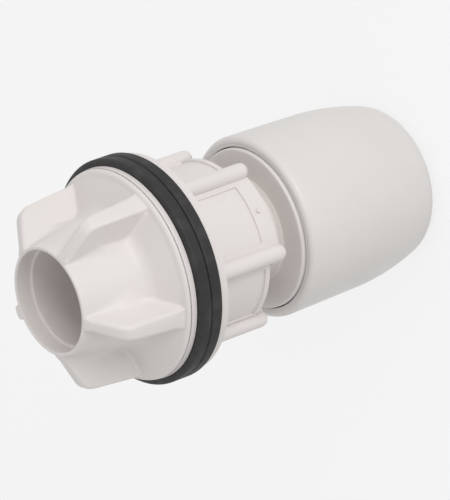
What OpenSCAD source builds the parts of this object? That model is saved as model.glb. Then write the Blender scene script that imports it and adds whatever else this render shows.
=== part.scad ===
// Push-fit tank connector for 22 mm pipe with a 3/4 inch threaded tail.
// It stands on the flat mouth of its retaining cap. The origin is the centre of
// that mouth and +Z runs along the axis, towards the winged hand nut.

/* [Retaining cap] */
// Height of the cap, from its mouth to its front rim
cap_h = 44.6; // [42:0.1:50]
// Radius of the barrel at its waist
cap_waist_r = 22.5; // [21.5:0.1:25]
// How much the barrel widens between its waist and its front rim
cap_flare = 0.4; // [0:0.1:1]
// Height at which the barrel starts to curve in towards the mouth
cap_curve_h = 24; // [20:0.5:30]
// Radius of the long curve of the barrel, seen from the side
cap_curve_r = 66; // [50:1:90]
// Rounding between the barrel and the flat mouth
cap_corner_r = 6.5; // [4:0.1:8]
// Rounding of the front rim
cap_rim_round = 1.6; // [0.4:0.1:2]
// Bore that the pipe passes at the mouth
mouth_r = 11.4; // [11.2:0.05:12]
// Thickness of the end wall that holds the grab wedge in
mouth_wall = 5; // [3:0.1:7]
// Break of the mouth's edges
mouth_chamfer = 0.6; // [0.2:0.1:1]

/* [Push-fit socket] */
// Radius of the socket bore that guides the 22 mm pipe
socket_r = 11.2; // [11.1:0.05:11.4]
// Length of that bore, from the seal pocket to the pipe stop
socket_len = 12; // [8:0.5:14]
// Radius of the pocket that holds the seal ring
seal_pocket_r = 14.55; // [14:0.05:15.2]
// Depth of that pocket
seal_pocket_len = 4.2; // [4:0.1:5.5]
// Outer radius of the drum that the cap screws onto
drum_r = 18.2; // [17.5:0.1:19]
// Radius of the collar in front of the drum
collar_r = 20.15; // [19.5:0.05:20.6]
// Thickness of the collar
collar_t = 3.5; // [2.5:0.1:4.5]
// How far the collar stands out of the cap
collar_proud = 0.8; // [0.3:0.1:1.5]
// Gap between the collar and the cap's front rim
collar_gap = 0.3; // [0.2:0.05:0.6]
// Break of the collar's and the tail's edges
edge_chamfer = 0.5; // [0.2:0.1:0.8]

/* [Grab wedge, teeth, spacer and seal] */
// Length of the grab wedge
wedge_len = 13; // [11:0.5:14]
// Bore of the grab wedge
wedge_bore_r = 11.3; // [11.2:0.05:11.6]
// Outer radius of the grab wedge at its narrow end
wedge_narrow_r = 13.9; // [13.4:0.1:14.5]
// Outer radius of the grab wedge at its wide end
wedge_wide_r = 16.6; // [16:0.1:17.2]
// How far the wedge floats along the pipe
wedge_float = 1.2; // [0.6:0.1:2]
// Width of the cut that lets the wedge close
wedge_split = 2.4; // [1.5:0.1:4]
// Depth of the relief cuts between the teeth
relief_depth = 5; // [3:0.5:7]
// Width of the relief cuts
relief_w = 1.2; // [0.8:0.1:2]
// Number of steel teeth in the wedge
tooth_count = 8; // [6:1:9]
// Thickness of a tooth
tooth_t = 0.5; // [0.4:0.05:0.8]
// Width of a tooth
tooth_w = 5; // [3.5:0.1:5.5]
// Length of a tooth along its slope
tooth_len = 3.6; // [3:0.1:4]
// Slope of a tooth, from the pipe's axis
tooth_slope = 42; // [30:1:55]
// Radius that the tips of the teeth have on a fitted pipe
tooth_tip_r = 10.98; // [10.95:0.01:11.1]
// Distance of the tips below the wide end of the wedge
tooth_tip_drop = 1; // [0.5:0.1:3]
// Thickness of the spacer washer
spacer_t = 1.5; // [1:0.1:2.5]
// Bore of the spacer washer
spacer_bore_r = 11.3; // [11.2:0.05:11.8]
// Thickness of the seal ring's cord
seal_cord_d = 3.5; // [3:0.05:4]
// Bore of the seal ring on a fitted pipe
seal_bore_r = 11; // [10.98:0.01:11.1]

/* [Threaded tail] */
// Radius over the 3/4 inch pipe thread
thread_r = 13.22; // [13:0.01:13.4]
// Radius at the crests of the nuts' threads
thread_crest_r = 12.06; // [11.8:0.01:12.2]
// Radius of the waterway
waterway_r = 8.75; // [7:0.05:9.5]
// Length of tail inside the winged nut
tail_engage = 5.5; // [4:0.1:7]
// Gap between the collar and the ribbed nut
nut_standoff = 6.5; // [5.8:0.1:10]

/* [Ribbed backnut] */
// Length of the ribbed nut
ribbed_len = 24.3; // [20:0.1:30]
// Radius of its flange
ribbed_flange_r = 27.2; // [25:0.1:27.9]
// Thickness of its flange
ribbed_flange_t = 2.2; // [1.5:0.1:3.5]
// Wall between its thread and its pockets
ribbed_hub_wall = 2.3; // [1.8:0.1:3]
// Radius of the wall panels between the ribs
panel_r = 20.7; // [20:0.1:21.5]
// Thickness of the wall panels
panel_t = 2.2; // [1.6:0.1:3]
// Depth of the shallow recess in each panel
panel_recess = 0.5; // [0.2:0.1:0.8]
// Width of the border round that recess
panel_border = 1.3; // [0.8:0.1:2]
// How far the short panels stop before the ends of the ribs
panel_step = 4.1; // [2:0.1:6]
// How far the long panels stop before the ends of the ribs
long_panel_step = 0.8; // [0.3:0.1:2]
// Number of ribs, an even number
rib_count = 6; // [6:2:8]
// Direction of the first rib
rib_turn = 39; // [0:1:59]
// Radius at the crest of the ribs
rib_r = 23.5; // [22.5:0.1:25]
// Thickness of the rounded bead along each rib
rib_bead_d = 4; // [3:0.1:5]
// Thickness of the web below the bead
rib_web_t = 2.4; // [1.6:0.1:3]
// Radius of the small pip on each long panel
pip_r = 0.9; // [0.5:0.1:1.4]
// Height of the pips
pip_h = 0.7; // [0.3:0.1:1]
// Distance of the pips from the ends of the ribs
pip_drop = 3.6; // [2.5:0.1:6]

/* [Washers] */
// Radius of the rubber washers
washer_r = 28; // [27:0.1:30]
// Thickness of a rubber washer
washer_t = 3.2; // [2:0.1:4]
// Clearance between the washers and the thread
washer_clear = 0.4; // [0.3:0.05:0.8]
// Rounding of the washers' edges
washer_round = 0.6; // [0.2:0.1:1]

/* [Winged hand nut] */
// Length of the winged nut
winged_len = 23.6; // [20:0.1:28]
// Radius of its flange
winged_flange_r = 26.3; // [25:0.1:27.5]
// Thickness of the flange at the crease behind its rim
winged_flange_t = 2.8; // [2:0.1:4]
// Width of the rounded rim
winged_rim_w = 1.9; // [1:0.1:2.5]
// Radius of the hub where it meets the dished flange
hub_base_r = 16.6; // [16:0.1:18]
// Height of the flange's dish at the hub
dish_h = 6.2; // [4:0.1:8]
// Outer radius of the neck at its front rim
neck_rim_r = 13.45; // [13.2:0.05:14.5]
// Depth of thread inside the nut
nut_thread_len = 7.6; // [6:0.1:9]
// Bore of the lip at the front of the neck
lip_bore_r = 12.63; // [12.3:0.01:12.8]
// Depth of the lip
lip_len = 4.3; // [2:0.1:6]
// Number of wings
wing_count = 5; // [4:1:6]
// Direction of the first wing
wing_turn = 36; // [0:1:71]
// Radius of the wings at the flange
wing_base_r = 24.9; // [23:0.1:25.5]
// Radius of the wings at their front corner
wing_corner_r = 23.6; // [21:0.1:24.5]
// Distance of the corner from the front of the nut
wing_corner_drop = 5; // [3:0.1:8]
// Rounding of the corner
wing_corner_round = 2.5; // [1:0.1:3.5]
// Thickness of a wing at its base
wing_t = 4.4; // [3:0.1:5.5]
// Radius of the fillet between a wing and the hub
wing_fillet = 4.5; // [2:0.1:6]
// How far the wings run into the hub
wing_sink = 0.2; // [0.1:0.05:0.4]

/* [Fits] */
// Radial clearance of threads
thread_clear = 0.05; // [0.02:0.01:0.1]
// Clearance of loose pieces along the axis
seat_gap = 0.3; // [0.2:0.05:0.4]
// Clearance of the teeth in their slots
slot_clear = 0.05; // [0.02:0.01:0.1]
// Clearance of loose rings inside the cap
ring_clear = 0.3; // [0.2:0.05:0.4]

/* [Hidden] */
$fn = 96;
tooth_names = [for (i = [1 : tooth_count]) str("grip_tooth_", i)];

// Small overlap that makes a cut run past a face
cut = 1;
arc_steps = 16;
fillet_steps = 6;
// Width of a pip's top, as a share of its foot
pip_taper = 0.6;

// Heights along the axis, from the mouth of the cap upwards
wedge_z = mouth_wall + seat_gap;
wedge_top = wedge_z + wedge_len;
spacer_z = wedge_top + wedge_float + seat_gap;
drum_z = spacer_z + spacer_t + seat_gap;
pocket_top = drum_z + seal_pocket_len;
stop_z = pocket_top + socket_len;
collar_top = cap_h + collar_proud;
collar_z = collar_top - collar_t;
ribbed_z = collar_top + nut_standoff;
rear_washer_z = ribbed_z + ribbed_len;
front_washer_z = rear_washer_z + washer_t;
winged_z = front_washer_z + washer_t;
tail_top = winged_z + tail_engage;
winged_top = winged_z + winged_len;

// Points of a circular arc in the side view, from one angle to another
function arc(c, r, a0, a1, n) = [
    for (i = [0 : n])
        let (a = a0 + (a1 - a0) * i / n)
            [c[0] + r * cos(a), c[1] + r * sin(a)]
];

// The corner arc touches the mouth plane and the long barrel curve
curve_centre = [cap_waist_r - cap_curve_r, cap_curve_h];
corner_centre = [
    curve_centre[0]
        + sqrt(pow(cap_curve_r - cap_corner_r, 2) - pow(cap_curve_h - cap_corner_r, 2)),
    cap_corner_r
];
join_angle = atan2(corner_centre[1] - curve_centre[1], corner_centre[0] - curve_centre[0]);
cap_front_r = cap_waist_r + cap_flare;

// The grab wedge and its seat in the cap share one slope
wedge_slope = (wedge_wide_r - wedge_narrow_r) / wedge_len;
function wedge_r(z) = wedge_narrow_r + wedge_slope * (z - wedge_z);

module ring(r_out, r_in, z, h) {
    translate([0, 0, z])
        difference() {
            cylinder(r = r_out, h = h);
            translate([0, 0, -cut]) cylinder(r = r_in, h = h + 2 * cut);
        }
}

module revolve(points) {
    rotate_extrude() polygon(points);
}

// The barrel-shaped cap: a wide front bore over the collar, a threaded bore
// over the drum, a chamber for the spacer, a cone for the wedge and the mouth
module retaining_cap() {
    bore_r = drum_r + thread_clear;
    chamber_z = spacer_z - seat_gap;
    color("#ece8e3")
        revolve(concat(
            arc(corner_centre, cap_corner_r, -90, join_angle, arc_steps),
            arc(curve_centre, cap_curve_r, join_angle, 0, arc_steps),
            arc([cap_front_r - cap_rim_round, cap_h - cap_rim_round],
                cap_rim_round, 0, 90, arc_steps),
            [
                [collar_r + collar_gap, cap_h],
                [collar_r + collar_gap, collar_z],
                [bore_r, collar_z],
                [bore_r, chamber_z],
                [wedge_r(chamber_z) + ring_clear, chamber_z],
                [wedge_r(mouth_wall) + ring_clear, mouth_wall],
                [mouth_r, mouth_wall],
                [mouth_r, mouth_chamfer],
                [mouth_r + mouth_chamfer, 0]
            ]
        ));
}

// The main moulding: pipe socket with its drum and collar, and the long tail
module connector_body() {
    color("#f1eee9")
        revolve([
            [seal_pocket_r, drum_z],
            [drum_r - edge_chamfer, drum_z],
            [drum_r, drum_z + edge_chamfer],
            [drum_r, collar_z],
            [collar_r, collar_z],
            [collar_r, collar_top - edge_chamfer],
            [collar_r - edge_chamfer, collar_top],
            [thread_r, collar_top],
            [thread_r, tail_top - edge_chamfer],
            [thread_r - edge_chamfer, tail_top],
            [waterway_r, tail_top],
            [waterway_r, stop_z],
            [socket_r, stop_z],
            [socket_r, pocket_top],
            [seal_pocket_r, pocket_top]
        ]);
}

module pipe_seal_ring() {
    color("#202020")
        translate([0, 0, pocket_top - seat_gap - seal_cord_d / 2])
            rotate_extrude()
                translate([seal_bore_r + seal_cord_d / 2, 0])
                    circle(d = seal_cord_d, $fn = 48);
}

module spacer_washer() {
    color("#d9dde0")
        ring(drum_r - ring_clear, spacer_bore_r, spacer_z, spacer_t);
}

// Side view of a tooth, as a slim plate that leans in towards its tip
module tooth_outline(grow) {
    tip_z = wedge_top - tooth_tip_drop;
    along = [sin(tooth_slope), -cos(tooth_slope)];
    across = [cos(tooth_slope), sin(tooth_slope)];
    tip = [tooth_tip_r, tip_z];
    start = tip - grow * along - grow * across;
    long = tooth_len + 2 * grow;
    thick = tooth_t + 2 * grow;
    polygon([
        start,
        start + long * along,
        start + long * along + thick * across,
        start + thick * across
    ]);
}

module tooth_plate(grow) {
    rotate([90, 0, 0])
        linear_extrude(height = tooth_w + 2 * grow, center = true)
            tooth_outline(grow);
}

module at_tooth(i) {
    rotate([0, 0, (i - 0.5) * 360 / tooth_count]) children();
}

module grip_tooth(i) {
    color("#b9bcc0") at_tooth(i) tooth_plate(0);
}

// The split wedge that carries the teeth, with relief cuts between them
module grab_wedge() {
    color("#e4e6e4")
        difference() {
            revolve([
                [wedge_bore_r, wedge_z],
                [wedge_narrow_r, wedge_z],
                [wedge_wide_r, wedge_top],
                [wedge_bore_r, wedge_top]
            ]);
            for (i = [1 : tooth_count]) at_tooth(i) tooth_plate(slot_clear);
            translate([0, -wedge_split / 2, wedge_z - cut])
                cube([wedge_wide_r + cut, wedge_split, wedge_len + 2 * cut]);
            for (i = [1 : tooth_count - 1])
                rotate([0, 0, i * 360 / tooth_count])
                    translate([0, -relief_w / 2, wedge_top - relief_depth])
                        cube([wedge_wide_r + cut, relief_w, relief_depth + cut]);
        }
}

module rubber_washer(z) {
    w = washer_round;
    bore = thread_r + washer_clear;
    color("#242424")
        revolve(concat(
            [[bore, z]],
            arc([washer_r - w, z + w], w, -90, 0, fillet_steps),
            arc([washer_r - w, z + washer_t - w], w, 0, 90, fillet_steps),
            [[bore, z + washer_t]]
        ));
}

module rear_washer() {
    rubber_washer(rear_washer_z);
}

module front_washer() {
    rubber_washer(front_washer_z);
}

// A part of a tube between two directions
module sector(r_in, r_out, z0, z1, a0, a1) {
    rotate([0, 0, a0])
        rotate_extrude(angle = a1 - a0)
            translate([r_in, z0]) square([r_out - r_in, z1 - z0]);
}

// One rib: a rounded bead on a web that runs in to the hub
module rib(angle) {
    bead_r = rib_bead_d / 2;
    rotate([0, 0, angle]) {
        translate([rib_r - bead_r, 0, ribbed_z + bead_r]) {
            sphere(r = bead_r, $fn = 32);
            cylinder(r = bead_r, h = ribbed_len - ribbed_flange_t / 2 - bead_r, $fn = 32);
        }
        translate([thread_r + ribbed_hub_wall / 2, -rib_web_t / 2, ribbed_z + bead_r / 2])
            cube([
                rib_r - bead_r - thread_r - ribbed_hub_wall / 2,
                rib_web_t,
                ribbed_len - ribbed_flange_t / 2 - bead_r / 2
            ]);
    }
}

// One wall panel with its shallow recess, and a pip where it is a long one
module panel(angle, is_long) {
    half = 180 / rib_count;
    low = ribbed_z + (is_long ? long_panel_step : panel_step);
    top = rear_washer_z - ribbed_flange_t / 2;
    border = (panel_border + rib_bead_d / 2) / panel_r * 180 / PI;
    recess_low = ribbed_z + panel_step + panel_border;
    difference() {
        sector(panel_r - panel_t, panel_r, low, top, angle - half, angle + half);
        sector(
            panel_r - panel_recess, panel_r + cut,
            recess_low, rear_washer_z - ribbed_flange_t - panel_border,
            angle - half + border, angle + half - border
        );
    }
    if (is_long)
        rotate([0, 0, angle])
            translate([panel_r - panel_t / 2, 0, ribbed_z + pip_drop])
                rotate([0, 90, 0])
                    cylinder(r1 = pip_r, r2 = pip_r * pip_taper, h = panel_t / 2 + pip_h, $fn = 24);
}

// The ribbed nut: a flange, a threaded hub and six ribs with panels between them
module ribbed_backnut() {
    step = 360 / rib_count;
    flange_z = rear_washer_z - ribbed_flange_t;
    color("#f0ece7")
        difference() {
            union() {
                ring(thread_r + ribbed_hub_wall, thread_r - cut, ribbed_z, ribbed_len);
                translate([0, 0, flange_z]) cylinder(r = ribbed_flange_r, h = ribbed_flange_t);
                for (i = [0 : rib_count - 1]) {
                    rib(rib_turn + i * step);
                    panel(rib_turn + (i + 0.5) * step, i % 2 == 1);
                }
            }
            translate([0, 0, ribbed_z - cut])
                cylinder(r = thread_r + thread_clear, h = ribbed_len + 2 * cut);
        }
}

// Cross-section of the wings at the nut's back face, with a core just inside the hub.
// Each flank runs in from beyond the tip and ends in a fillet that touches the core.
half_t = wing_t / 2;
core_r = hub_base_r - wing_sink;
fillet_y = half_t + wing_fillet;
fillet_x = sqrt(pow(core_r + wing_fillet, 2) - pow(fillet_y, 2));
touch = atan2(fillet_y, fillet_x);
wing_step = 360 / wing_count;
flank = concat(
    [[winged_flange_r * 1.5, half_t]],
    arc([fillet_x, fillet_y], wing_fillet, -90, touch - 180, fillet_steps)
);

function turned(p, a) = [p[0] * cos(a) - p[1] * sin(a), p[0] * sin(a) + p[1] * cos(a)];
function mirrored(points) = [for (i = [len(points) - 1 : -1 : 0]) [points[i][0], -points[i][1]]];
core_arc = [
    for (i = [1 : fillet_steps - 1])
        turned([core_r, 0], touch + (wing_step - 2 * touch) * i / fillet_steps)
];

module wing_section() {
    polygon([
        for (i = [0 : wing_count - 1], p = concat(mirrored(flank), flank, core_arc))
            turned(p, wing_turn + i * wing_step)
    ]);
}

// Side outline that the wings are cut to
module wing_outline() {
    corner_z = winged_top - wing_corner_drop;
    r = wing_corner_round;
    slope = atan2(wing_corner_drop, wing_corner_r - neck_rim_r);
    low = winged_z + winged_flange_t / 2;
    revolve(concat(
        [[0, low], [wing_base_r, low]],
        arc([wing_corner_r - r, corner_z - r], r, 0, 90 - slope, fillet_steps),
        [[neck_rim_r - wing_sink, winged_top - wing_sink], [0, winged_top - wing_sink]]
    ));
}

// The hand nut: a dished flange and a conical hub with wings that blend into it
module winged_nut() {
    hub_slope = (hub_base_r - neck_rim_r) / (winged_len - dish_h);
    dish_edge = winged_flange_r - winged_rim_w;
    color("#f3f0ec")
        difference() {
            union() {
                intersection() {
                    translate([0, 0, winged_z])
                        linear_extrude(
                            height = winged_len,
                            scale = neck_rim_r / (neck_rim_r + hub_slope * winged_len)
                        )
                            scale(1 + hub_slope * dish_h / hub_base_r) wing_section();
                    wing_outline();
                }
                revolve(concat(
                    [[0, winged_z], [winged_flange_r, winged_z]],
                    arc([dish_edge, winged_z + winged_flange_t - winged_rim_w],
                        winged_rim_w, 0, 90, fillet_steps),
                    [
                        [hub_base_r, winged_z + dish_h],
                        [neck_rim_r, winged_top],
                        [0, winged_top]
                    ]
                ));
            }
            translate([0, 0, winged_z - cut])
                cylinder(r = thread_r + thread_clear, h = nut_thread_len + cut);
            translate([0, 0, winged_z])
                cylinder(r = thread_crest_r, h = winged_len + cut);
            translate([0, 0, winged_top - lip_len])
                cylinder(r = lip_bore_r, h = lip_len + cut);
        }
}

connector_body();
retaining_cap();
grab_wedge();
for (i = [1 : tooth_count])
    grip_tooth(i);
spacer_washer();
pipe_seal_ring();
ribbed_backnut();
rear_washer();
front_washer();
winged_nut();
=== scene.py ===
"""Push-fit tank connector: moulded forms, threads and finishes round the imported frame.

Shape sizes are millimetres and meshes are metres. +Z runs from the mouth of the
retaining cap to the winged hand nut, and every outline below is a side view that
holds a radius and a height.
"""

import math

import bpy
import numpy as np
from mathutils import Matrix, Vector


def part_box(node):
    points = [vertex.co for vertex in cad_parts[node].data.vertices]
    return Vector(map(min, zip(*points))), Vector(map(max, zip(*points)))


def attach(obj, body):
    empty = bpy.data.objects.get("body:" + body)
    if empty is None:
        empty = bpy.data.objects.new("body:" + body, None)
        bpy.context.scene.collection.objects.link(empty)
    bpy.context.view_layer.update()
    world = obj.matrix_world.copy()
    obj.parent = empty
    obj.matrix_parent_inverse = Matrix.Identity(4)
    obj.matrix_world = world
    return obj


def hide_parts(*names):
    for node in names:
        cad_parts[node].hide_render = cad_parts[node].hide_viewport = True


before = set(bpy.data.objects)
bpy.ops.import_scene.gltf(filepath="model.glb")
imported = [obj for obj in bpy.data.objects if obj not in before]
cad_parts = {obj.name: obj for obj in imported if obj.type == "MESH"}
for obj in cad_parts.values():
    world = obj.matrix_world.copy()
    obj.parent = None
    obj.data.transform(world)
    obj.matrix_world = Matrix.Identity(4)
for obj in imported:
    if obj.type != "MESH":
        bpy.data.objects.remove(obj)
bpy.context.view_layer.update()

MM = 0.001


def span(node):
    """Lowest and highest height of a node, and its reach along X, in millimetres."""
    low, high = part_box(node)
    return low.z / MM, high.z / MM, high.x / MM


# Heights and outer radii that come from the frame
_, CAP_TOP, CAP_FRONT_R = span("retaining_cap")
DRUM_Z, TAIL_TOP, COLLAR_R = span("connector_body")
SPACER_Z, _, _ = span("spacer_washer")
REAR_WASHER_Z, REAR_WASHER_TOP, WASHER_R = span("rear_washer")
FRONT_WASHER_Z, FRONT_WASHER_TOP, _ = span("front_washer")
WINGED_Z, WINGED_TOP, WINGED_FLANGE_R = span("winged_nut")

# Threads
THREAD_R = 13.22
THREAD_DEPTH = 1.1
THREAD_PITCH = 1.814
THREAD_CLEAR = 0.05
CAP_PITCH = 3.0
CAP_THREAD_DEPTH = 0.8
DRUM_R = 18.2

COLUMNS = 192


# Outlines

def trace(corners, rounds, runs, bend=4):
    """Rows of a closed outline, and the rows of each of its sides.

    Every corner becomes a parabola that touches both sides at the corner's
    rounding distance, corner + r (1 - s)^2 back + r s^2 ahead. Side k leaves
    corner k. It is divided into runs[k] equal steps, or at the fractions given.
    """
    corners = np.array(corners, float)
    ahead = np.roll(corners, -1, 0) - corners
    ahead /= np.linalg.norm(ahead, axis=1)[:, None]
    back = -np.roll(ahead, 1, 0)
    reach = np.array(rounds, float)[:, None]
    s = np.linspace(0, 1, bend + 1)[:, None]
    rows, sides, count = [], [], 0
    for k in range(len(corners)):
        turn = corners[k] + reach[k] * ((1 - s) ** 2 * back[k] + s ** 2 * ahead[k])
        following = (k + 1) % len(corners)
        end = corners[following] + reach[following] * back[following]
        steps = runs[k]
        if np.isscalar(steps):
            steps = np.linspace(0, 1, steps + 1)[1:-1]
        side = turn[-1] + (end - turn[-1]) * np.array(steps)[:, None]
        rows += [turn, side]
        sides.append(slice(count + bend, count + bend + 1 + len(side)))
        count += bend + 1 + len(side)
    return np.concatenate(rows), sides


def smooth(x):
    """The cubic step 3 x^2 - 2 x^3, held at 0 and 1 outside its range."""
    x = np.clip(x, 0, 1)
    return x * x * (3 - 2 * x)


def turned(rows, columns=COLUMNS):
    """Radius, angle and height of an outline turned about Z."""
    theta = np.arange(columns) * 2 * np.pi / columns
    shape = (len(rows), columns)
    return (
        np.broadcast_to(rows[:, :1], shape).copy(),
        np.broadcast_to(theta, shape).copy(),
        np.broadcast_to(rows[:, 1:], shape).copy(),
    )


def groove(theta, z, pitch):
    """How deep a right-hand thread is cut at a place, from 0 at the crest to 1 at the root.

    The phase is z / pitch - theta / 2 pi. A triangle wave of it is steepened
    and passed through the cubic step, which rounds the crest and the root.
    """
    phase = z / pitch - theta / (2 * np.pi)
    wave = np.abs(2 * (phase - np.floor(phase)) - 1)
    return smooth((wave - 0.14) / 0.72)


def cut_thread(form, rows, pitch, depth, low, high, fade):
    """Takes a thread out of the given rows, fading at both ends of its length."""
    radius, theta, z = form
    t, h = theta[rows], z[rows]
    length = smooth((h - low) / fade) * smooth((high - h) / fade)
    radius[rows] -= depth * groove(t, h, pitch) * length


# Meshes

def ring_mesh(name, form, body, node, material):
    """A closed mesh from a grid that closes round Z and along its outline."""
    radius, theta, z = form
    count, columns = radius.shape
    points = np.stack([radius * np.cos(theta), radius * np.sin(theta), z], -1) * MM
    i, j = np.meshgrid(np.arange(count), np.arange(columns), indexing="ij")
    i2, j2 = (i + 1) % count, (j + 1) % columns
    quads = np.stack([i * columns + j, i * columns + j2, i2 * columns + j2, i2 * columns + j], -1)
    points, quads = points.reshape(-1, 3), quads.reshape(-1, 4)
    p = points[quads]
    inward = np.einsum("ij,ij->i", p[:, 0], np.cross(p[:, 1] - p[:, 0], p[:, 2] - p[:, 0])).sum() < 0
    if inward:
        quads = quads[:, ::-1]
    mesh = bpy.data.meshes.new(name)
    mesh.vertices.add(len(points))
    mesh.vertices.foreach_set("co", points.ravel())
    mesh.loops.add(quads.size)
    mesh.loops.foreach_set("vertex_index", quads.ravel())
    mesh.polygons.add(len(quads))
    mesh.polygons.foreach_set("loop_start", np.arange(len(quads)) * 4)
    mesh.update(calc_edges=True)
    mesh.validate()
    mesh.shade_smooth()
    piece = bpy.data.objects.new(name, mesh)
    bpy.context.scene.collection.objects.link(piece)
    mesh.materials.append(material)
    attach(piece, body)
    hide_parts(node)
    return piece


# Finishes

def finish_nodes(name, colour, roughness):
    """A principled material with its texture coordinate, ready for its own pattern."""
    made = bpy.data.materials.new(name)
    made.use_nodes = True
    tree = made.node_tree
    shader = tree.nodes["Principled BSDF"]
    shader.inputs["Base Color"].default_value = (*colour, 1)
    shader.inputs["Roughness"].default_value = roughness
    place = tree.nodes.new("ShaderNodeTexCoord").outputs["Object"]
    return made, tree, shader, place


def noise(tree, place, scale, detail=3.0):
    node = tree.nodes.new("ShaderNodeTexNoise")
    node.inputs["Scale"].default_value = scale
    node.inputs["Detail"].default_value = detail
    tree.links.new(place, node.inputs["Vector"])
    return node.outputs["Fac"]


def ramp(tree, value, dark, light, low=0.3, high=0.7):
    """Colours between dark and light as a value runs from low to high."""
    node = tree.nodes.new("ShaderNodeValToRGB")
    node.color_ramp.elements[0].position = low
    node.color_ramp.elements[1].position = high
    node.color_ramp.elements[0].color = (*dark, 1)
    node.color_ramp.elements[1].color = (*light, 1)
    tree.links.new(value, node.inputs["Fac"])
    return node.outputs["Color"]


def scaled(tree, value, low, high):
    """A value from 0 to 1 carried to the range from low to high."""
    node = tree.nodes.new("ShaderNodeMapRange")
    node.inputs["To Min"].default_value = low
    node.inputs["To Max"].default_value = high
    tree.links.new(value, node.inputs["Value"])
    return node.outputs["Result"]


def bump(tree, shader, height, distance, strength=1.0):
    node = tree.nodes.new("ShaderNodeBump")
    node.inputs["Distance"].default_value = distance
    node.inputs["Strength"].default_value = strength
    tree.links.new(height, node.inputs["Height"])
    tree.links.new(node.outputs["Normal"], shader.inputs["Normal"])


def shade(colour, factor):
    return tuple(c * factor for c in colour)


def moulded_plastic(name, colour, roughness, mottle):
    """White moulded plastic: faint cloudy tone, uneven gloss and a fine moulded skin."""
    made, tree, shader, place = finish_nodes(name, colour, roughness)
    cloud = noise(tree, place, 60, 4)
    tree.links.new(
        ramp(tree, cloud, shade(colour, 1 - mottle), shade(colour, 1 + mottle / 2)),
        shader.inputs["Base Color"],
    )
    gloss = noise(tree, place, 140, 3)
    tree.links.new(scaled(tree, gloss, roughness - 0.06, roughness + 0.08), shader.inputs["Roughness"])
    bump(tree, shader, noise(tree, place, 1400, 4), 0.00003, 0.35)
    shader.inputs["Specular IOR Level"].default_value = 0.42
    return made


def moulded_rubber(name, colour):
    """Matt black rubber with a fine grain and a few paler dusty patches."""
    made, tree, shader, place = finish_nodes(name, colour, 0.6)
    dust = noise(tree, place, 220, 6)
    tree.links.new(
        ramp(tree, dust, colour, shade(colour, 2.6), 0.5, 0.78), shader.inputs["Base Color"]
    )
    tree.links.new(scaled(tree, noise(tree, place, 500), 0.5, 0.75), shader.inputs["Roughness"])
    bump(tree, shader, noise(tree, place, 1800, 5), 0.00006, 0.5)
    return made


def rolled_steel(name, colour):
    """Stainless strip with fine rolling streaks."""
    made, tree, shader, place = finish_nodes(name, colour, 0.3)
    shader.inputs["Metallic"].default_value = 1.0
    stretch = tree.nodes.new("ShaderNodeMapping")
    stretch.inputs["Scale"].default_value = (1, 1, 12)
    tree.links.new(place, stretch.inputs["Vector"])
    streak = noise(tree, stretch.outputs["Vector"], 700, 4)
    tree.links.new(ramp(tree, streak, shade(colour, 0.8), colour), shader.inputs["Base Color"])
    tree.links.new(scaled(tree, streak, 0.24, 0.42), shader.inputs["Roughness"])
    bump(tree, shader, streak, 0.00002, 0.3)
    return made


WHITE = moulded_plastic("white moulding", (0.80, 0.757, 0.735), 0.42, 0.03)
CAP_WHITE = moulded_plastic("cap moulding", (0.77, 0.74, 0.722), 0.36, 0.025)
ACETAL = moulded_plastic("acetal wedge", (0.66, 0.70, 0.70), 0.3, 0.03)
BLACK = moulded_rubber("washer rubber", (0.016, 0.0145, 0.0145))
SEAL = moulded_rubber("seal rubber", (0.02, 0.02, 0.022))
STEEL = rolled_steel("tooth steel", (0.56, 0.57, 0.58))


def dress(node, material):
    """Gives a node of the frame its material."""
    piece = bpy.data.objects[node]
    piece.data.materials.clear()
    piece.data.materials.append(material)


# Room, lights and camera

VIEW_BACK = Vector((0.82431, -0.00029, 0.56614)).normalized()
VIEW_UP = Vector((0.19475, 0.93912, -0.28307)).normalized()
VIEW_CENTRE = Vector((0.02361, -0.00284, 0.07032))
VIEW_DISTANCE = 1.0
LENS = 307.44
FLOOR_SIZE = 6.0
FLOOR_DROP = 0.00005
ROOM_LIGHT = 0.62
KEY_DISTANCE = 1.1
KEY_SIZE = 0.7
KEY_POWER = 5.2
KEY_RISE = 0.55
KEY_SIDE = 0.25


def white_to_the_eye(tree, seen, lit):
    """Light Path choice: seen by camera, glossy and transmission rays, lit by the rest."""
    path = tree.nodes.new("ShaderNodeLightPath")
    first = tree.nodes.new("ShaderNodeMath")
    first.operation = "MAXIMUM"
    tree.links.new(path.outputs["Is Camera Ray"], first.inputs[0])
    tree.links.new(path.outputs["Is Glossy Ray"], first.inputs[1])
    second = tree.nodes.new("ShaderNodeMath")
    second.operation = "MAXIMUM"
    tree.links.new(first.outputs[0], second.inputs[0])
    tree.links.new(path.outputs["Is Transmission Ray"], second.inputs[1])
    return scaled(tree, second.outputs[0], lit, seen)


def make_room():
    world = bpy.data.worlds.new("room")
    bpy.context.scene.world = world
    world.use_nodes = True
    tree = world.node_tree
    background = tree.nodes["Background"]
    background.inputs["Color"].default_value = (1, 1, 1, 1)
    tree.links.new(white_to_the_eye(tree, 1.0, ROOM_LIGHT), background.inputs["Strength"])


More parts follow.
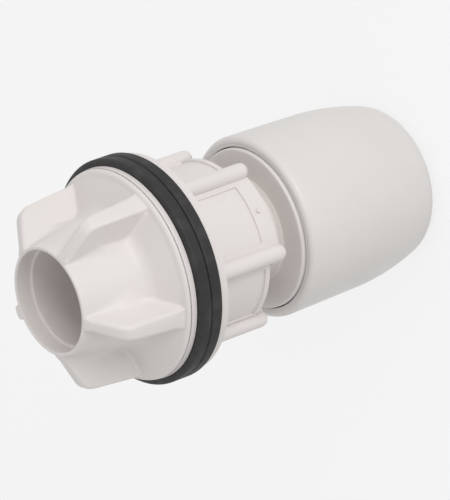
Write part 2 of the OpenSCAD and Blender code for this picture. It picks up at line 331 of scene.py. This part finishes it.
def make_floor():
    """A pale floor that looks white and keeps a soft shadow."""
    mesh = bpy.data.meshes.new("floor")
    h = FLOOR_SIZE / 2
    corners = [(-h, -h, -FLOOR_DROP), (h, -h, -FLOOR_DROP), (h, h, -FLOOR_DROP), (-h, h, -FLOOR_DROP)]
    mesh.from_pydata(corners, [], [(0, 1, 2, 3)])
    floor = bpy.data.objects.new("floor", mesh)
    bpy.context.scene.collection.objects.link(floor)
    made = bpy.data.materials.new("pale floor")
    made.use_nodes = True
    tree = made.node_tree
    paint = tree.nodes["Principled BSDF"]
    paint.inputs["Base Color"].default_value = (0.9, 0.9, 0.9, 1)
    paint.inputs["Roughness"].default_value = 0.9
    glow = tree.nodes.new("ShaderNodeEmission")
    glow.inputs["Strength"].default_value = 1.0
    mix = tree.nodes.new("ShaderNodeMixShader")
    tree.links.new(white_to_the_eye(tree, 0.75, 0.0), mix.inputs["Fac"])
    tree.links.new(paint.outputs["BSDF"], mix.inputs[1])
    tree.links.new(glow.outputs["Emission"], mix.inputs[2])
    tree.links.new(mix.outputs["Shader"], tree.nodes["Material Output"].inputs["Surface"])
    mesh.materials.append(made)


def make_lamp(name, direction, distance, size, power):
    """A square lamp that faces the middle of the view."""
    data = bpy.data.lights.new(name, "AREA")
    data.size = size
    data.energy = power
    lamp = bpy.data.objects.new(name, data)
    bpy.context.scene.collection.objects.link(lamp)
    toward = direction.normalized()
    lamp.location = VIEW_CENTRE + toward * distance
    lamp.rotation_mode = "QUATERNION"
    lamp.rotation_quaternion = toward.to_track_quat("Z", "Y")


def make_camera():
    data = bpy.data.cameras.new("camera")
    data.lens = LENS
    data.clip_start = 0.1
    data.clip_end = 20
    camera = bpy.data.objects.new("camera", data)
    bpy.context.scene.collection.objects.link(camera)
    across = VIEW_UP.cross(VIEW_BACK).normalized()
    up = VIEW_BACK.cross(across)
    turn = Matrix((across, up, VIEW_BACK)).transposed().to_4x4()
    camera.matrix_world = Matrix.Translation(VIEW_CENTRE + VIEW_BACK * VIEW_DISTANCE) @ turn
    bpy.context.scene.camera = camera


# Turned pieces

CAP_WAIST_R = 22.5
CAP_CURVE_H = 24
CAP_CURVE_R = 66
CAP_CORNER_R = 6.5
CAP_RIM_ROUND = 1.6
MOUTH_R = 11.4
MOUTH_WALL = 5.0
SEAT_GAP = 0.3
RING_CLEAR = 0.3
COLLAR_T = 3.5
COLLAR_PROUD = 0.8
COLLAR_GAP = 0.3
WEDGE_NARROW_R = 13.9
WEDGE_WIDE_R = 16.6
WEDGE_LEN = 13.0

COLLAR_TOP = CAP_TOP + COLLAR_PROUD
COLLAR_Z = COLLAR_TOP - COLLAR_T


def arc(centre, r, start, end, steps):
    """Points of a circular arc between two directions in degrees, ends included."""
    a = np.radians(np.linspace(start, end, steps + 1))
    return np.stack([centre[0] + r * np.cos(a), centre[1] + r * np.sin(a)], 1)


def make_cap():
    """The cap: a barrel on a long arc, a small round to the mouth and a rolled front rim.

    Its chamber, cone and threaded bore follow the pieces inside it.
    """
    curve = np.array([CAP_WAIST_R - CAP_CURVE_R, CAP_CURVE_H])
    inner = CAP_CURVE_R - CAP_CORNER_R
    fall = CAP_CURVE_H - CAP_CORNER_R
    corner = np.array([curve[0] + math.sqrt(inner ** 2 - fall ** 2), CAP_CORNER_R])
    join = math.degrees(math.atan2(*(corner - curve)[::-1]))
    rim = (CAP_FRONT_R - CAP_RIM_ROUND, CAP_TOP - CAP_RIM_ROUND)
    slope = (WEDGE_WIDE_R - WEDGE_NARROW_R) / WEDGE_LEN
    wedge_z = MOUTH_WALL + SEAT_GAP
    chamber_z = SPACER_Z - SEAT_GAP

    def seat(z):
        return WEDGE_NARROW_R + slope * (z - wedge_z) + RING_CLEAR

    bore = DRUM_R + THREAD_CLEAR
    front = COLLAR_R + COLLAR_GAP
    inside, _ = trace(
        [
            (front, CAP_TOP), (front, COLLAR_Z), (bore, COLLAR_Z), (bore, chamber_z),
            (seat(chamber_z), chamber_z), (seat(MOUTH_WALL), MOUTH_WALL),
            (MOUTH_R, MOUTH_WALL), (MOUTH_R, 0), (MOUTH_R + 4, 0),
        ],
        [0.35, 0.2, 0.3, 0.2, 0.2, 0.2, 0.4, 0.7, 0.1],
        [4, 4, 130, 4, 12, 4, 6, 8, 1],
    )
    rows = np.concatenate([
        inside[:-5],
        arc(corner, CAP_CORNER_R, -90, join, 16),
        arc(curve, CAP_CURVE_R, join, 0, 30)[1:],
        arc(rim, CAP_RIM_ROUND, 0, 90, 10),
    ])
    form = turned(rows)
    threaded = (rows[:, 0] > bore - 0.01) & (rows[:, 0] < bore + 0.01)
    cut_thread(form, threaded, CAP_PITCH, CAP_THREAD_DEPTH, DRUM_Z + 1.5, COLLAR_Z - 1, 1.2)
    ring_mesh("dressed_retaining_cap", form, "cap", "retaining_cap", CAP_WHITE)


SEAL_POCKET_R = 14.55
SEAL_POCKET_LEN = 4.2
SOCKET_R = 11.2
SOCKET_LEN = 12.0
WATERWAY_R = 8.75
NECK_LEN = 2.4


def make_connector_body():
    """The main moulding: socket, threaded drum and collar, and the threaded tail."""
    pocket_top = DRUM_Z + SEAL_POCKET_LEN
    stop_z = pocket_top + SOCKET_LEN
    rows, sides = trace(
        [
            (SEAL_POCKET_R, DRUM_Z), (DRUM_R, DRUM_Z), (DRUM_R, COLLAR_Z), (COLLAR_R, COLLAR_Z),
            (COLLAR_R, COLLAR_TOP), (THREAD_R, COLLAR_TOP), (THREAD_R, TAIL_TOP),
            (WATERWAY_R, TAIL_TOP), (WATERWAY_R, stop_z), (SOCKET_R, stop_z),
            (SOCKET_R, pocket_top), (SEAL_POCKET_R, pocket_top),
        ],
        [0.3, 0.5, 0.3, 0.3, 0.55, 0.05, 0.7, 0.4, 0.3, 0.3, 0.5, 0.2],
        [4, 130, 3, 4, 8, 262, 3, 30, 4, 10, 4, 4],
    )
    form = turned(rows)
    cut_thread(form, sides[1], CAP_PITCH, CAP_THREAD_DEPTH, DRUM_Z + 0.6, COLLAR_Z - 1, 1.2)
    tail = sides[5]
    low = COLLAR_TOP + NECK_LEN
    radius, theta, z = form
    cut_thread(form, tail, THREAD_PITCH, THREAD_DEPTH, low, TAIL_TOP + 2, 1.0)
    neck = smooth((z[tail] - COLLAR_TOP) / 0.8) * smooth((low + 0.6 - z[tail]) / 1.2)
    radius[tail] -= (THREAD_DEPTH + 0.05) * neck
    ring_mesh("dressed_connector_body", form, "body", "connector_body", WHITE)


WASHER_CLEAR = 0.4


def make_washer(node, low, top, body):
    """A flat rubber washer with softly broken edges."""
    bore = THREAD_R + WASHER_CLEAR
    rows, _ = trace(
        [(bore, low), (WASHER_R, low), (WASHER_R, top), (bore, top)],
        [0.3, 0.75, 0.75, 0.3], [12, 6, 12, 6], 6,
    )
    ring_mesh("dressed_" + node, turned(rows, 256), body, node, BLACK)


# Ridged pieces

FADE = 0.4


def half_sector(crest, base, half, foot, edge, root, sector, steps, spread):
    """Half of a ridge and of the field beside it, from the ridge's middle outwards.

    A row starts on the crest, turns over a rounded edge, runs down the flank to
    the foot, leaves it through a fillet, and follows the turned base to the middle
    of the field. Across the ridge n goes 0, half - edge, half, foot, foot + root,
    while the way down from crest to base goes 0, 0, edge, fall - root, fall. The
    angle is asin(n / radius). Where crest and base meet, the columns even out.
    """
    half, foot, edge, root = (np.broadcast_to(a, len(crest))[:, None] for a in (half, foot, edge, root))
    fall = np.linalg.norm(base - crest, axis=1)[:, None]
    edge = np.minimum(np.minimum(edge, half), 0.45 * fall)
    root = np.minimum(root, 0.45 * fall)
    t = [np.linspace(0, 1, n + 1)[None] for n in steps]
    a, b = t[1][:, 1:] * np.pi / 2, t[3][:, 1:] * np.pi / 2
    across = np.concatenate([
        (half - edge) * t[0],
        half - edge + edge * np.sin(a),
        half + (foot - half) * t[2][:, 1:],
        foot + root * (1 - np.cos(b)),
    ], 1)
    down = np.concatenate([
        0 * fall * t[0],
        edge * (1 - np.cos(a)),
        edge + (fall - edge - root) * t[2][:, 1:],
        fall - root + root * np.sin(b),
    ], 1)
    share = down / np.maximum(fall, 1e-6)
    radius = crest[:, :1] + (base[:, :1] - crest[:, :1]) * share
    z = crest[:, 1:] + (base[:, 1:] - crest[:, 1:]) * share
    last = np.arcsin(across[:, -1:] / radius[:, -1:])
    even = last * np.linspace(0, 1, across.shape[1])[None]
    angle = even + (np.arcsin(across / radius) - even) * smooth(fall / FADE)
    field = last + (sector - last) * np.array(spread)[None, 1:]
    keep = np.ones_like(field)
    return (
        np.concatenate([radius, base[:, :1] * keep], 1),
        np.concatenate([angle, field], 1),
        np.concatenate([z, base[:, 1:] * keep], 1),
    )


def around(count, turn, halves):
    """Joins half sectors into a full ring. Ridge i has halves[i] behind and ahead of it."""
    parts = []
    for i in range(count):
        middle = turn + i * 2 * np.pi / count
        (r0, a0, z0), (r1, a1, z1) = halves[i]
        parts.append((r0[:, :0:-1], middle - a0[:, :0:-1], z0[:, :0:-1]))
        parts.append((r1[:, :-1], middle + a1[:, :-1], z1[:, :-1]))
    return tuple(np.concatenate([p[k] for p in parts], 1) for k in range(3))


WING_COUNT = 5
WING_TURN = 36.0
HUB_BASE_R = 16.6
DISH_H = 6.2
RIM_H = 2.8
RIM_W = 1.9
NECK_RIM_R = 13.45
LIP_R = 12.63
LIP_LEN = 4.3
NUT_BORE_R = 12.06
NUT_THREAD_LEN = 7.6
WING_BASE_R = 24.9
WING_CORNER_R = 23.6
WING_CORNER_DROP = 5.0
WING_HALF = 1.75
WING_DRAFT = 0.045


def make_winged_nut():
    """The hand nut: a dished flange and a conical hub with five drafted wings."""
    z0, z1 = WINGED_Z, WINGED_TOP
    bore = THREAD_R + THREAD_CLEAR
    thread_top = z0 + NUT_THREAD_LEN
    lip_z = z1 - LIP_LEN
    shared_after = [
        (WINGED_FLANGE_R, z0 + 0.9), (WINGED_FLANGE_R, z0), (bore, z0), (bore, thread_top),
        (NUT_BORE_R, thread_top), (NUT_BORE_R, lip_z), (LIP_R, lip_z), (LIP_R, z1),
    ]
    rounds_after = [0.8, 0.3, 0.5, 0.3, 0.3, 0.2, 0.2, 0.22]
    runs_after = [3, 12, 60, 3, 12, 2, 8, 2]
    base_rows, sides = trace(
        [(NECK_RIM_R, z1), (HUB_BASE_R, z0 + DISH_H), (WINGED_FLANGE_R - RIM_W, z0 + RIM_H),
         (WINGED_FLANGE_R - 0.35, z0 + RIM_H - 0.25)] + shared_after,
        [0.3, 2.2, 0.5, 0.9] + rounds_after,
        [40, 30, 3, 3] + runs_after, 6,
    )
    crest_rows, _ = trace(
        [(NECK_RIM_R, z1), (WING_CORNER_R, z1 - WING_CORNER_DROP), (WING_BASE_R, z0 + RIM_H),
         (WINGED_FLANGE_R - 0.35, z0 + RIM_H - 0.25)] + shared_after,
        [0.3, 2.6, 0.5, 0.9] + rounds_after,
        [40, 30, 3, 3] + runs_after, 6,
    )
    below = np.clip(z1 - crest_rows[:, 1], 0, None)
    below_base = np.clip(z1 - base_rows[:, 1], 0, None)
    half = WING_HALF + WING_DRAFT * below
    foot = WING_HALF + WING_DRAFT * below_base
    on_hub = smooth((z0 + DISH_H + 6 - base_rows[:, 1]) / 6)
    root = 4.2 + (0.9 - 4.2) * on_hub
    spread = np.linspace(0, 1, 15)
    sector = np.pi / WING_COUNT
    part = half_sector(
        crest_rows, base_rows, half, foot, 1.1, root, sector, (3, 8, 6, 8), spread
    )
    form = around(WING_COUNT, math.radians(WING_TURN), [(part, part)] * WING_COUNT)
    cut_thread(form, sides[6], THREAD_PITCH, THREAD_DEPTH, z0 + 0.3, thread_top + 2, 1.0)
    ring_mesh("dressed_winged_nut", form, "wing_nut", "winged_nut", WHITE)


def dress_inner_pieces():
    dress("grab_wedge", ACETAL)
    dress("spacer_washer", ACETAL)
    dress("pipe_seal_ring", SEAL)
    for node in sorted(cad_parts):
        if node.startswith("grip_tooth_"):
            dress(node, STEEL)


make_camera()
make_room()
make_floor()
side = VIEW_UP.cross(VIEW_BACK)
make_lamp("key", VIEW_BACK + KEY_RISE * VIEW_UP + KEY_SIDE * side, KEY_DISTANCE, KEY_SIZE, KEY_POWER)
make_cap()
make_connector_body()
make_washer("rear_washer", REAR_WASHER_Z, REAR_WASHER_TOP, "outer_washer")
make_washer("front_washer", FRONT_WASHER_Z, FRONT_WASHER_TOP, "inner_washer")
make_winged_nut()
dress("ribbed_backnut", WHITE)
dress_inner_pieces()

bpy.context.scene.view_settings.view_transform = "Standard"
